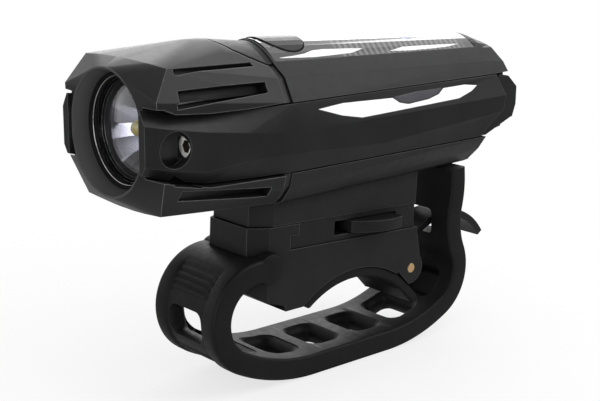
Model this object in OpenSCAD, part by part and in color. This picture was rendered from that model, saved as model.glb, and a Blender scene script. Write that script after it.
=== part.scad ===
// Bicycle headlight on a slide-off handlebar bracket with a hooked rubber strap.
// Millimetres, +Z up, the beam points along -Y, and the origin is the crown of the handlebar cradle.
// The light is drawn in its own frame: y from the bezel edge backwards, z from the lens axis upwards.

/* [Head] */
// Radius of the bezel bore at its front edge
bezel_r = 13; // [12.6:0.1:13.4]
// Length of the head casting
head_l = 34; // [32:0.5:36]
// Height of the head's top ridge above the lens axis, at the front
head_top = 14.3; // [13.8:0.1:15]
// Depth of the head's belly below the lens axis, at the front
head_low = 16.4; // [15.8:0.1:17]
// Half width across the lower fins, at the front
fin_half_w = 17.4; // [16.8:0.1:18]
// Half width of the top facet
ridge_half_w = 9.4; // [8.6:0.1:10]
// Depth of the cooling grooves
groove_d = 2; // [1.4:0.1:2.2]
// Width of the gasket ring behind the head
ring_w = 2; // [1.5:0.1:2.6]

/* [Optics] */
// Aperture radius of the lens retainer
aperture_r = 11.2; // [10.8:0.1:11.4]
// Radius of the lens and of its seat
lens_r = 12; // [11.8:0.05:12.2]
// Distance from the bezel edge to the lens seat
seat_y = 6.8; // [6.6:0.1:7.4]
// Thickness of the lens at its rim
lens_rim = 1.6; // [1.2:0.1:1.8]
// Height of the lens dome
lens_dome = 2.2; // [1.6:0.1:2.6]
// Radius of the reflector mouth
reflector_r = 10; // [9.4:0.1:10.1]
// Depth of the reflector
reflector_l = 8.4; // [7.5:0.1:10]
// Thickness of the emitter's circuit board
led_board_t = 1.6; // [1.2:0.1:2]
// Side of the square emitter
led_w = 3.6; // [3:0.1:4.5]

/* [Body] */
// Length of the shells behind the gasket ring
body_l = 72.6; // [72:0.2:74]
// Reach of the rear cap behind the shells
cap_l = 3.4; // [3:0.2:5.4]
// Drop of the body's top ridge from the front of the body to the tail
tail_drop = 1.9; // [1:0.1:2.5]
// Crown of the top panel above its edges, at the front
crown_front = 4; // [3.6:0.1:4.4]
// Crown of the top panel above its edges, at the tail
crown_tail = 2.9; // [2.6:0.1:3.2]
// Distance between the side plates' inner faces, halved
plate_in = 13; // [12.8:0.05:13.2]
// Half width across the side plates, at the middle of the light
plate_out = 16.6; // [16:0.1:17]
// Thickness of the glossy top panel
panel_t = 0.9; // [0.7:0.1:1.2]
// Depth of the white inlay in a side plate
inlay_d = 0.8; // [0.5:0.1:1.2]
// Gap at the seams between casing pieces
seam = 0.12; // [0.08:0.02:0.2]
// Shadow gap round a side plate
plate_gap = 0.5; // [0.3:0.05:0.6]

/* [Inside] */
// Diameter of the battery cell
cell_d = 18.4; // [18:0.1:18.6]
// Length of the battery cell
cell_l = 65; // [63:0.5:66]
// Clearance round the battery cell
cell_gap = 0.2; // [0.1:0.05:0.3]
// Thickness of the driver board
board_t = 1; // [0.8:0.1:1.2]
// Length of the driver board
board_l = 40; // [34:1:46]
// Width of the driver board
board_w = 15; // [12:0.5:16]
// Height of the switch under the power button
switch_h = 1.5; // [1.2:0.1:1.8]

/* [Button] */
// Length of the power button
button_l = 11.6; // [11:0.1:12.4]
// Width of the power button
button_w = 13.6; // [13:0.1:13.8]
// Travel of the power button
button_travel = 0.6; // [0.4:0.1:0.8]
// Height of the power button above the panel
button_proud = 0.3; // [0.2:0.1:0.5]
// Gap round the power button
button_gap = 0.25; // [0.2:0.05:0.4]

/* [Charging port] */
// Width of the rubber port cover
cover_w = 13; // [12:0.5:15]
// Height of the rubber port cover
cover_h = 7.6; // [7:0.2:8.4]
// Thickness of the rubber port cover
cover_t = 1.8; // [1.4:0.1:2]
// Gap round the rubber port cover
cover_gap = 0.3; // [0.25:0.05:0.4]

/* [Bracket] */
// Radius of the cradle's rubber face
cradle_r = 23.5; // [22:0.5:26]
// Thickness of the rubber liner
liner_t = 2.4; // [2:0.1:3]
// Height of the light's seat above the cradle crown
seat_z = 16; // [15.5:0.1:17]
// Forward tilt of the slide rail
rail_tilt = 2.3; // [1.5:0.1:3]
// Height of the lens axis above the cradle crown
axis_z = 41; // [40.5:0.1:42]
// Half width of the saddle and of the light's foot
saddle_half_w = 9; // [8.6:0.1:9.6]
// Thickness of the rail plate below the seat
rail_plate_t = 5.8; // [5.4:0.1:6.4]
// Half width of the rail's stem
rail_stem = 3.8; // [3.4:0.1:4.2]
// Half width of the rail's head
rail_head = 6; // [5.6:0.1:6.4]
// Height of the rail's stem above the seat
rail_stem_h = 2; // [1.8:0.1:2.4]
// Thickness of the rail's head
rail_head_t = 1.7; // [1.4:0.1:2]
// Running clearance of the slide
slide_gap = 0.25; // [0.2:0.05:0.35]

/* [Release lever] */
// Length of the finger tab along the light
tab_l = 14.5; // [12:0.5:16]
// Reach of the finger tab beyond the saddle's side
tab_reach = 4; // [3:0.5:5]
// Thickness of the lever
lever_t = 2.8; // [2.4:0.1:3.2]
// Swing of the lever in degrees
lever_swing = 14; // [8:1:15]
// Diameter of the lever's pivot pin
lever_pin_d = 3; // [2.6:0.1:3.4]

/* [Strap] */
// Width of the rubber strap
strap_w = 22; // [20:0.5:24]
// Thickness of the rubber strap
strap_t = 5.2; // [4.8:0.1:5.6]
// Outer radius of the strap's front loop
front_loop_r = 13.2; // [12.8:0.1:13.8]
// Outer radius of the strap's rear loop
rear_loop_r = 13; // [12.5:0.1:13.5]
// Depth of the strap's flat belly below the cradle crown
belly_z = 20; // [19.5:0.1:21]
// Length of the strap's flat belly
belly_l = 24; // [20:1:28]
// Length of a strap slot across the strap
slot_w = 10.5; // [10:0.1:12]
// Length of a strap slot along the strap
slot_l = 6.5; // [6.2:0.1:7]
// Pitch of the strap slots
slot_pitch = 13.6; // [12.5:0.1:14]
// Diameter of the bead at the strap's front end
bead_d = 7; // [6.6:0.1:7.2]

/* [Hook] */
// Diameter of the hook's brass pin
hook_pin_d = 2.4; // [2:0.1:2.8]
// Width of the hook
hook_w = 8; // [7:0.5:8.5]
// Thickness of the hook's prong
hook_t = 1.9; // [1.6:0.1:2.1]
// Running clearance on the pivot pins
pin_gap = 0.06; // [0.04:0.01:0.1]

/* [Hidden] */
$fn = 64;

// Small overlap that carries a cut past a face
past = 1;
// Clearance on the diameter of a pin or screw that doesn't turn
fixed_gap = 0.02;
// Where the light's body starts behind the gasket ring, and where its shells and the whole light end
body_y = head_l + ring_w;
shell_end = body_y + body_l;
light_l = shell_end + cap_l;
// Distance from the front of the body back to the cradle crown, and from the bezel edge to it
crown_y = 26;
light_y = -crown_y - body_y;
// Level at which the upper and lower shells meet, behind the side plates
split_z = -2;
// End of the shells' core, where the rear cap starts
core_end = shell_end - 1.4;
// Lens axis to the middle of the battery cell
cell_z = -3;
// Front end of the battery cell
cell_y = body_y + 1.4;

// Seams of a side plate, given as [y, top, bottom] from the front to the tail
plate_line = [[-0.8, 6.5, -6.3], [2.6, 6.1, -7.2], [5.4, 4.9, -8], [14, 4.2, -9.8], [24, 4, -10.1],
              [body_y, 4.3, -10.4], [body_y + 27, 4.4, -10.4], [shell_end, 4.4, -10.4]];
// Creases of a side plate, given as [edge x, crease x, upper crease z, lower crease z, lower edge x]
plate_crease = [[13.3, 15, 3.6, -4.5, 13.8], [13.4, 15.2, 2.9, -5.3, 13.9],
                [13.5, 15.3, 2.3, -6, 14], [13.9, plate_out - 1, 0.8, -7.3, 14.5],
                [14.8, plate_out - 0.5, -0.5, -6.2, 15.2], [15.8, plate_out, -1.9, -6.2, 15.7],
                [15.2, plate_out - 0.4, -1.4, -7.4, 15.2], [14.2, plate_out - 1.3, -0.9, -4.5, 14.2]];
// Rear edge of a side plate, seen from the side as a chevron of [y, z]
chevron = [[shell_end - 5.4, 4.4], [shell_end - 2.4, -0.9], [shell_end - 3.3, -4.5],
           [shell_end - 10.6, -10.4]];

// Screw at the front of each side plate
pocket_y = 6.3;
pocket_z = -1.9;
pocket_d = 7.4;
screw_x = plate_in - 0.4;
screw_z = -2.1;
screw_head_d = 4.7;
screw_head_l = 2.5;
screw_y = pocket_y + 4.3;
screw_d = 2.5;
screw_l = 12;
socket_d = 2.9;

function blend(a, b, t) = a + (b - a) * t;
// Right half of a section, mirrored to a closed ring that runs up the right side
function ring_of(half) = concat(half, [for (i = [len(half) - 1 : -1 : 0]) [-half[i][0], half[i][1]]]);
// A ring of [x, z] points lifted to one station along the light
function at_y(y, ring) = [for (p = ring) [p[0], y, p[1]]];
// Crowned top edge from its right corner to the middle
function crown_half(half, edge, crown) = [for (k = [1, 0.8, 0.6, 0.4, 0.2, 0.05])
    [half * k, edge + crown * (1 - k * k)]];

// Places its children in the light's own frame
module in_light() {
    translate([0, light_y, axis_z]) children();
}

// Places its children in the frame of the slide rail, whose y runs along the rail
module in_rail() {
    translate([0, 0, seat_z]) rotate([-rail_tilt, 0, 0]) children();
}

module both_sides() {
    children();
    mirror([1, 0, 0]) children();
}

// Solid through rings that have equal numbers of points
module loft(rings) {
    n = len(rings[0]);
    m = len(rings);
    sides = [for (k = [0 : m - 2], i = [0 : n - 1])
        let (a = k * n + i, b = k * n + (i + 1) % n)
        each [[a, b, b + n], [a, b + n, a + n]]];
    front = [for (i = [n - 1 : -1 : 0]) i];
    back = [for (i = [0 : n - 1]) (m - 1) * n + i];
    polyhedron([for (r = rings) each r], concat(sides, [front, back]), convexity = 8);
}

// Turns a profile of [radius, y] about the lens axis
module about_y() {
    rotate([-90, 0, 0]) rotate_extrude() children();
}

// Round bar along +Y
module rod_y(d, l) {
    rotate([-90, 0, 0]) cylinder(d = d, h = l);
}

// Round bar along X, centred
module rod_x(d, l) {
    rotate([0, 90, 0]) cylinder(d = d, h = l, center = true);
}

// Side view outline of [y, z], extruded from x0 to x1
module side_slab(x0, x1) {
    translate([x0, 0, 0]) rotate([90, 0, 90]) linear_extrude(x1 - x0) children();
}

// Plan oval, long along X
module wide_oval(w, l) {
    reach = (w - l) / 2;
    union() {
        square([2 * reach, l], center = true);
        translate([reach, 0]) circle(d = l);
        translate([-reach, 0]) circle(d = l);
    }
}

// Rounded rectangle, centred
module round_rect(w, h, r) {
    union() {
        square([w - 2 * r, h], center = true);
        square([w, h - 2 * r], center = true);
        for (x = [-1, 1], y = [-1, 1])
            translate([x * (w / 2 - r), y * (h / 2 - r)]) circle(r);
    }
}

// Sections of the light

// Rear edges of the head, which the gasket ring and the body repeat
ridge_z = head_top - 2.1;
mid_corner = [13.2, ridge_z - 2.6];
seam_corner = [15.9, 4.7];

// Front corners of the head: right half from the belly up, as [x, y, z]
head_front = concat([[3, 4.6, -head_low], [6.5, 4.5, 0.2 - head_low], [13.3, 3.8, 1 - head_low],
    [fin_half_w, 2, -7.8], [fin_half_w - 0.7, 0.9, 8.1], [14.6, 4.9, head_top - 0.1]],
    at_y(4.2, crown_half(ridge_half_w + 0.1, head_top + 0.35, 0.2)));
function mirrored(half) = concat(half, [for (i = [len(half) - 1 : -1 : 0])
    [-half[i][0], half[i][1], half[i][2]]]);
function head_half() = concat([[6, -head_low - 1.4], [12.5, -head_low - 1.1], [15.4, -14],
    [16.4, -10.2], seam_corner, mid_corner], crown_half(ridge_half_w - 0.1, ridge_z, crown_front));

// Crest of the head's top, where it is highest
function crest_half() = crown_half(8, head_top + 0.9, 2.1);

// Upper shell, from the split up to the crowned top
function upper_half(t) = concat([[blend(16, 14.6, t), split_z],
    [blend(seam_corner[0], 14.4, t), blend(seam_corner[1], 4.4, t)],
    [blend(mid_corner[0], 12, t), blend(mid_corner[1], 7.4, t)]],
    crown_half(blend(ridge_half_w - 0.1, 8, t), ridge_z - tail_drop * t, blend(crown_front, crown_tail, t)));

// Lower shell, from the belly up to the split
function lower_half(t) = [[blend(6, 5, t), blend(-18.8, -17.8, t)],
    [blend(10, 8.5, t), blend(-18.6, -17.4, t)], [blend(12.4, 10.4, t), blend(-17.5, -16.4, t)],
    [blend(15, 12.8, t), blend(-14, -13.6, t)], [blend(15.9, 14.4, t), -10.4],
    [blend(16, 14.6, t), split_z]];

// Solid of a right side plate, or the channel for it when gap is above 0
module plate_form(gap) {
    far = gap > 0 ? 6 : 0;
    loft([for (i = [0 : len(plate_line) - 1])
        let (s = plate_line[i], c = plate_crease[i])
        at_y(s[0] + (i == 0 ? -gap : i == len(plate_line) - 1 ? far : 0),
            [[plate_in, s[2] - gap], [c[4] + far, s[2] - gap], [c[1] + far, c[3]], [c[1] + far, c[2]],
             [c[0] + far, s[1] + gap], [plate_in, s[1] + gap]])]);
}

// Side view of all that lies ahead of the plate's chevron edge, moved back by gap
module ahead_of_chevron(gap) {
    top = chevron[0][0] + gap;
    low = chevron[3][0] + gap;
    polygon([[-20, 30], [top - 5, 30], [top - 5, 15.4], [top, chevron[0][1]],
             [chevron[1][0] + gap, chevron[1][1]], [chevron[2][0] + gap, chevron[2][1]],
             [low, chevron[3][1]], [low - 5, -20], [-20, -20]]);
}

// Side view outline of the white stripe
module stripe_outline() {
    translate([body_y, 0]) polygon([[7, 2.4], [14.5, 2.95], [30, 2.5], [32.2, 1.2], [35, 0.6], [42, 1],
        [45.6, 1.8], [47.3, 3], [61, 3.2], [57.2, 1.3], [52.6, 0.1], [35.5, -0.4], [20, -0.8], [14, 0.3]]);
}

// Side view outline of the dark marker window above the stripe's notch
module marker_outline() {
    translate([body_y, 0]) polygon([[30.4, 2.6], [32.5, 1.4], [35, 0.8], [42, 1.2], [45.4, 2],
        [46.9, 3.1], [38, 3.1]]);
}

module plate_trimmed() {
    intersection() {
        plate_form(0);
        side_slab(0, 30) ahead_of_chevron(0);
    }
}

// Notch between the plate's lower edge and the lower fin, grown by gap
module plate_notch(gap) {
    side_slab(plate_in, 30) offset(delta = gap) polygon([[4.9, -8.4], [6.3, -7], [10.6, -9.6]]);
}

// Screw pocket, its counterbore and its hole, cut from the plate and from the head
module screw_cut() {
    translate([plate_in - 0.4, pocket_y, pocket_z]) rotate([0, 90, 0]) cylinder(d = pocket_d, h = 8);
    translate([screw_x, screw_y - 2, screw_z]) rod_y(screw_head_d + 0.1, 2 + screw_head_l);
    translate([screw_x, screw_y, screw_z]) rod_y(screw_d + fixed_gap, screw_head_l + screw_l);
}

module side_plate() {
    in_light() difference() {
        plate_trimmed();
        screw_cut();
        plate_notch(0);
        side_slab(plate_out - 1 - inlay_d, 30) stripe_outline();
        side_slab(plate_out - 1 - inlay_d, 30) marker_outline();
    }
}

module side_inlay() {
    in_light() intersection() {
        plate_trimmed();
        side_slab(plate_out - 1 - inlay_d, 30) children();
    }
}

// Bracket

// Side view of the saddle's cradle arc centre
module cradle_centre() {
    translate([0, -cradle_r]) children();
}

// Height of the saddle's top below the rail's seat
saddle_top = -0.2 - rail_plate_t;
block_front = -31;
lip_end = -17.7;
lip_under = -2.9;
lip_bite = 2.6;
hook_pin_y = 18.8;
hook_pin_z = -1.1;
knuckle_r = 2.8;

// Strap path: its bead sits in the front block
loop_y = -30.5;
loop_z = -2.6;
bead_y = -27.4;
bead_z = front_loop_r - strap_t / 2 + loop_z;
rear_y = 24.5;
rear_z = -3.5;
belly_y = -14;

module saddle() {
    color("#26272a") difference() {
        union() {
            // Front block with its corners cut back
            in_rail() translate([0, 0, -19]) linear_extrude(19 - 0.2) polygon([[-6.6, block_front],
                [6.6, block_front], [saddle_half_w, block_front + 4.6], [saddle_half_w, lip_end],
                [-saddle_half_w, lip_end], [-saddle_half_w, block_front + 4.6]]);
            // Cradle body with a rounded rear end
            side_slab(-saddle_half_w, saddle_half_w) union() {
                polygon([[lip_end - 4, -5.2], [hook_pin_y - 1, -5.6], [hook_pin_y + 3.5, -1.5],
                         [20.2, 9.6], [lip_end - 4, 12]]);
                translate([hook_pin_y, hook_pin_z]) circle(3.9);
            }
        }
        // Cradle arc, flat pad ahead of it and the sloping front below the strap
        side_slab(-20, 20) union() {
            cradle_centre() circle(cradle_r + liner_t, $fn = 128);
            liner_tongue();
            polygon([[-60, 2.6], [-32.2, 2.6], [-21.8, -3.4], [-10, -3.4], [-10, -40], [-60, -40]]);
        }
        // Room above the cradle body for the rail plate, with the groove under the lip
        in_rail() translate([-20, lip_end, saddle_top]) cube([40, 60, 30]);
        in_rail() translate([-20, lip_end - lip_bite, saddle_top]) cube([40, 60, -saddle_top + lip_under]);
        // Seat of the strap's bead, open to the front
        translate([0, bead_y, bead_z]) rod_x(bead_d + 0.1, 40);
        translate([-20, -60, bead_z - strap_t / 2 - 0.05]) cube([40, 60 + bead_y, strap_t + 0.1]);
        // Slot and bore for the hook
        translate([-hook_w / 2 - 0.3, hook_pin_y - knuckle_r - 0.6, -20]) cube([hook_w + 0.6, 20, 26]);
        translate([0, hook_pin_y, hook_pin_z]) rod_x(hook_pin_d + fixed_gap, 40);
        // Holes for the rail screws
        for (y = rail_screw_y)
            in_rail() translate([0, y, saddle_top - rail_screw_l])
                cylinder(d = rail_screw_d + fixed_gap, h = 20);
        in_rail() translate([0, lever_y, saddle_top - lever_pin_root])
            cylinder(d = lever_pin_d + fixed_gap, h = 6);
    }
}

// Tongue of the liner that hangs free behind the saddle
module liner_tongue() {
    cradle_centre() rotate(-46) translate([-6, cradle_r]) square([11, liner_t]);
}

module saddle_liner() {
    color("#1c1c1e") side_slab(-saddle_half_w + 0.4, saddle_half_w - 0.4) difference() {
        union() {
            intersection() {
                cradle_centre() circle(cradle_r + liner_t, $fn = 128);
                translate([-16.4, -3.4]) square([33.4, 20]);
            }
            liner_tongue();
        }
        cradle_centre() circle(cradle_r, $fn = 128);
    }
}

// Rail plate, bolted to the saddle, with the slide rail on top
rail_y0 = -14;
rail_y1 = 18.6;
plate_y0 = lip_end + 0.2;
plate_y1 = 19.6;
rail_screw_d = 3;
rail_screw_l = 4;
rail_screw_head = 5.4;
rail_screw_y = [-8, 15.4];
// Level of the screw heads above the saddle's top
rail_head_z = rail_plate_t + rail_stem_h;
lever_y = 5;
lever_z = -1.5 - lever_t;
lever_hub_r = 4.6;
// The pivot pin's depth in the saddle and its height in the rail plate
lever_pin_root = 3;
lever_pin_h = rail_plate_t - 0.9;
// Room ahead of the tab for its whole swing
lever_room = (saddle_half_w + tab_reach) * sin(lever_swing) + 1.4;

// Plan of the lever's tab and arm
module lever_plan() {
    union() {
        circle(lever_hub_r);
        translate([0, -3]) square([saddle_half_w, 6]);
        intersection() {
            translate([saddle_half_w - 4, -tab_l / 2]) square([20, tab_l]);
            translate([saddle_half_w + tab_reach - 14, 2]) circle(14);
        }
    }
}

module rail_plate() {
    color("#232427") in_rail() difference() {
        union() {
            translate([-saddle_half_w + 0.3, plate_y0, saddle_top])
                cube([2 * saddle_half_w - 0.6, plate_y1 - plate_y0, rail_plate_t]);
            translate([-saddle_half_w + 0.3, lip_end - lip_bite + 0.2, saddle_top])
                cube([2 * saddle_half_w - 0.6, lip_bite + 1, -saddle_top + lip_under - 0.2]);
            translate([-rail_stem, rail_y0, -past])
                cube([2 * rail_stem, rail_y1 - rail_y0, rail_stem_h + past]);
            translate([-rail_head, rail_y0, rail_stem_h])
                cube([2 * rail_head, rail_y1 - rail_y0, rail_head_t]);
        }
        // Cave for the release lever, open on the right side
        translate([0, lever_y, lever_z - 0.3]) {
            cylinder(r = lever_hub_r + 0.6, h = lever_t + 0.6);
            translate([0, -tab_l / 2 - lever_room, 0]) cube([20, tab_l + lever_room + 1, lever_t + 0.6]);
        }
        translate([0, lever_y, saddle_top - past])
            cylinder(d = lever_pin_d + fixed_gap, h = past + lever_pin_h + fixed_gap);
        for (y = rail_screw_y)
            translate([0, y, saddle_top - past]) {
                cylinder(d = rail_screw_d + fixed_gap, h = 20);
                translate([0, 0, past + rail_head_z]) cylinder(d = rail_screw_head + 0.1, h = 10);
            }
    }
}

module rail_screws() {
    color("silver") in_rail() for (y = rail_screw_y)
        translate([0, y, saddle_top]) difference() {
            union() {
                translate([0, 0, -rail_screw_l])
                    cylinder(d = rail_screw_d, h = rail_screw_l + rail_head_z + 0.2);
                translate([0, 0, rail_head_z]) cylinder(d = rail_screw_head, h = 1.4);
            }
            translate([0, 0, rail_head_z + 0.4]) cylinder(d = socket_d, h = 3, $fn = 6);
        }
}

module lever_pin() {
    color("silver") in_rail() translate([0, lever_y, saddle_top - lever_pin_root])
        cylinder(d = lever_pin_d, h = lever_pin_root + lever_pin_h);
}

module release_lever() {
    color("#2b2c2f") in_rail() translate([0, lever_y, lever_z]) difference() {
        linear_extrude(lever_t) lever_plan();
        translate([0, 0, -past]) cylinder(d = lever_pin_d + 2 * pin_gap, h = lever_t + 2 * past);
    }
}

module hook_pin() {
    color("#b98a4a") translate([0, hook_pin_y, hook_pin_z]) rod_x(hook_pin_d, 2 * saddle_half_w + 0.2);
}

// Hook: a knuckle on the pin and a prong that arches back through a strap slot
prong_r = 16.9;
prong_tip = 34;
prong_root = 152;
prong_y = hook_pin_y + 2.28 - prong_r * cos(prong_root);
prong_z = hook_pin_z + 0.93 - prong_r * sin(prong_root);

module strap_hook() {
    color("#1f2022") difference() {
        union() {
            translate([0, hook_pin_y, hook_pin_z]) rod_x(2 * knuckle_r, hook_w);
            side_slab(-hook_w / 2, hook_w / 2) translate([prong_y, prong_z]) intersection() {
                difference() {
                    circle(prong_r + hook_t / 2, $fn = 128);
                    circle(prong_r - hook_t / 2, $fn = 128);
                }
                polygon([[0, 0], 40 * [cos(prong_root), sin(prong_root)], 40 * [cos(110), sin(110)],
                         40 * [cos(70), sin(70)], 40 * [cos(prong_tip), sin(prong_tip)]]);
            }
        }
        translate([0, hook_pin_y, hook_pin_z]) rod_x(hook_pin_d + 2 * pin_gap, hook_w + 2);
    }
}

// Strap: one path of straight and round stretches, each [length, turn in degrees]
function sweep_r(dy, h, r) = (dy * dy + h * h - r * r) / (2 * (h - r));
front_h = loop_z + belly_z;
rear_h = rear_z + belly_z;
front_dy = belly_y - loop_y;
rear_dy = rear_y - belly_y - belly_l;
front_R = sweep_r(front_dy, front_h, front_loop_r);
rear_R = sweep_r(rear_dy, rear_h, rear_loop_r);
front_a = atan2(front_dy, front_R - front_h);
rear_a = atan2(rear_dy, rear_R - rear_h);
function bend(r, a) = [r * a * PI / 180, a];
strap_path = [[bead_y - loop_y, 0], bend(front_loop_r - strap_t / 2, 180 - front_a),
              bend(front_R - strap_t / 2, front_a), [belly_l, 0], bend(rear_R - strap_t / 2, rear_a),
              bend(rear_loop_r - strap_t / 2, 115 - rear_a), bend(19.2, 37) * [[1, 0], [0, -1]],
              bend(24, 17)];
function path_l(i) = i < 0 ? 0 : path_l(i - 1) + strap_path[i][0];
// Point and heading after s millimetres of one stretch that starts at p with heading h
function stretch(p, h, seg, s) = seg[1] == 0
    ? [p + s * [cos(h), sin(h)], h]
    : let (r = seg[0] * 180 / (seg[1] * PI), c = p + r * [-sin(h), cos(h)], g = h + seg[1] * s / seg[0])
      [c - r * [-sin(g), cos(g)], g];
function along(s, i = 0, p = [bead_y, bead_z], h = 180) =
    s <= strap_path[i][0] || i == len(strap_path) - 1 ? stretch(p, h, strap_path[i], s)
    : let (e = stretch(p, h, strap_path[i], strap_path[i][0])) along(s - strap_path[i][0], i + 1, e[0], e[1]);
// Stations of the outline: ends of each stretch and steps along the round ones
strap_stations = [0, for (i = [0 : len(strap_path) - 1])
    let (k = strap_path[i][1] == 0 ? 1 : ceil(abs(strap_path[i][1]) / 8))
    for (j = [1 : k]) path_l(i - 1) + strap_path[i][0] * j / k];
function side_of(q, d) = q[0] + d * [-sin(q[1]), cos(q[1])];
slot_first = 20.9;
slot_n = 7;
hook_slot = path_l(5) + 7.6;

module strap_slot(s) {
    q = along(s);
    translate([0, q[0][0], q[0][1]]) rotate([q[1], 0, 0]) linear_extrude(strap_t * 2.4, center = true)
        round_rect(slot_w, slot_l, 1.4);
}

module strap() {
    color("#1b1b1d") difference() {
        union() {
            side_slab(-strap_w / 2, strap_w / 2) polygon(concat(
                [for (s = strap_stations) side_of(along(s), strap_t / 2)],
                [for (i = [len(strap_stations) - 1 : -1 : 0])
                    side_of(along(strap_stations[i]), -strap_t / 2)]));
            translate([0, bead_y, bead_z]) rod_x(bead_d, strap_w);
        }
        for (i = [0 : slot_n - 1]) strap_slot(slot_first + i * slot_pitch);
        strap_slot(hook_slot);
    }
}

// Light

// Front of the bore, lens pocket, reflector bay and the bay of the heat sink
bay_r = reflector_r + 0.2;
board_y = seat_y + reflector_l;
sink_y = board_y + led_board_t;
sink_r = 9.6;
// Depth of the tapered bezel, and thickness of the seal in front of the lens
bezel_d = 3.4;
seal_t = 0.7;
lens_y = seat_y - lens_rim;

module head_bore() {
    pocket_r = lens_r + 0.05;
    sink_bay_r = sink_r + 0.05;
    about_y() polygon([[0, -past], [bezel_r, -past], [bezel_r, 0], [pocket_r, bezel_d], [pocket_r, seat_y],
        [bay_r, seat_y], [bay_r, sink_y], [sink_bay_r, sink_y], [sink_bay_r, head_l + past],
        [0, head_l + past]]);
}

// Scoop that starts shallow at its front and ends in a step at its rear end p
module scoop(p, tilt, yaw, rise, w, l) {
    translate(p) rotate([0, tilt, 0]) rotate([0, 0, yaw]) rotate([-rise, 0, 0])
        translate([-w / 2, -l, -groove_d]) cube([w, l, 6]);
}
scoop_l = 23.5;

module head_grooves() {
    scoop([10.3, 29.4, 12.6], 36, 7.8, 12, 1.3, scoop_l);
    scoop([14.45, 29.9, 8.25], 64, 0.8, 6.5, 2.3, scoop_l);
    scoop([14.9, 29.4, 7.5], 64, 3.3, 6.5, 0.9, scoop_l);
    scoop([15.1, 30.2, -13.9], 118, -6.6, 2, 2.5, scoop_l);
    plate_notch(plate_gap / 2);
}

// Head before anything is cut from it
module head_form() {
    hull() {
        rod_y(2 * bezel_r + 0.7, 0.3);
        loft([mirrored(head_front), at_y(head_l, ring_of(head_half()))]);
        loft([at_y(20, ring_of(crest_half())), at_y(24, ring_of(crest_half()))]);
    }
}

// Tongue of the body that reaches forward over the head, as a prism grown by gap
tongue = [[ridge_half_w, head_l], [7.9, 29.9], [6.5, 27.3], [2.7, 25.2]];
tongue_z = 11;
tongue_gap = 0.7;
module tongue_prism(gap) {
    half = [for (p = tongue) [p[0] + gap * 0.9, p[1] - gap * 0.6]];
    translate([0, 0, tongue_z - gap]) linear_extrude(20) polygon(concat([[half[0][0], body_y + past]], half,
        [for (i = [len(half) - 1 : -1 : 0]) [-half[i][0], half[i][1]]], [[-half[0][0], body_y + past]]));
}

module tongue_body() {
    half = ridge_half_w - 0.4;
    bridge = ring_of(concat([[half, tongue_z]], crown_half(half, ridge_z - 0.15, crown_front)));
    intersection() {
        union() {
            head_form();
            loft([at_y(head_l - past, bridge), at_y(body_y + 0.3, bridge)]);
        }
        tongue_prism(0);
    }
}

module head_shell() {
    color("#2a2b2e") in_light() difference() {
        head_form();
        head_bore();
        tongue_prism(tongue_gap);
        both_sides() plate_form(plate_gap);
        both_sides() screw_cut();
        both_sides() head_grooves();
    }
}

module lens_retainer() {
    color("#1d1d1f") in_light() about_y() polygon([[aperture_r + 0.5, bezel_d], [lens_r, bezel_d],
        [lens_r, lens_y - seal_t], [aperture_r, lens_y - seal_t], [aperture_r, bezel_d + 0.7]]);
}

module lens_seal() {
    color("#3a3a3c") in_light() about_y() translate([aperture_r + 0.1, lens_y - seal_t])
        square([lens_r - aperture_r - 0.1, seal_t]);
}

// Radius of the sphere that makes a dome of this height over this radius
function dome_r(r, h) = (r * r + h * h) / (2 * h);

module front_lens() {
    dome_base = aperture_r - 0.2;
    ball = dome_r(dome_base, lens_dome);
    color("#cfd8ea") in_light() union() {
        translate([0, lens_y, 0]) rod_y(2 * lens_r, lens_rim);
        intersection() {
            translate([0, lens_y - lens_dome + ball, 0]) sphere(ball, $fn = 128);
            translate([0, lens_y - lens_dome - past, 0]) rod_y(2 * dome_base, lens_dome + past + 0.2);
        }
    }
}

// Polished bowl: its profile is a parabola through the mouth and the emitter's opening
mouth_r = reflector_r - 0.5;
throat_r = led_w * 0.75;

module reflector() {
    steps = 8;
    rim = 0.4;
    fall = (reflector_l - rim) / (pow(mouth_r, 2) - pow(throat_r, 2));
    bowl = [for (i = [0 : steps])
        let (r = blend(mouth_r, throat_r, i / steps))
        [r, seat_y + rim + fall * (pow(mouth_r, 2) - r * r)]];
    color("#d9dbe0") in_light() about_y() polygon(concat([[mouth_r, seat_y]], bowl,
        [[throat_r + 1.6, seat_y + reflector_l], [reflector_r, seat_y + 2], [reflector_r, seat_y]]));
}

module led_board() {
    color("#3f6b4f") in_light() translate([0, board_y, 0]) rod_y(2 * bay_r - 0.1, led_board_t);
}

module led_emitter() {
    color("#e8d34a") in_light() union() {
        translate([-led_w / 2, board_y - 0.8, -led_w / 2]) cube([led_w, 0.8, led_w]);
        intersection() {
            translate([0, board_y - 0.8, 0]) sphere(d = led_w * 0.8);
            translate([-led_w, board_y - 4, -led_w]) cube([2 * led_w, 3.4, 2 * led_w]);
        }
    }
}

module heat_sink() {
    color("#9a9da1") in_light() difference() {
        translate([0, sink_y, 0]) rod_y(2 * sink_r, head_l - sink_y);
        translate([0, sink_y + 3, 0]) rod_y(2 * sink_r - 5, head_l);
    }
}

module gasket_ring() {
    color("#151516") in_light() difference() {
        union() {
            loft([at_y(head_l, ring_of(head_half_in())), at_y(body_y, ring_of(head_half_in()))]);
            intersection() {
                translate([0, 0, -0.4]) head_form();
                tongue_prism(tongue_gap);
            }
        }
        translate([0, head_l - past, 0]) rod_y(2 * sink_r - 5, ring_w + 2 * past);
        tongue_prism(0);
        both_sides() plate_form(plate_gap / 2);
    }
}

// Section of the gasket ring, a little inside the head's
function head_half_in() = [for (p = head_half()) p * 0.965];

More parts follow.
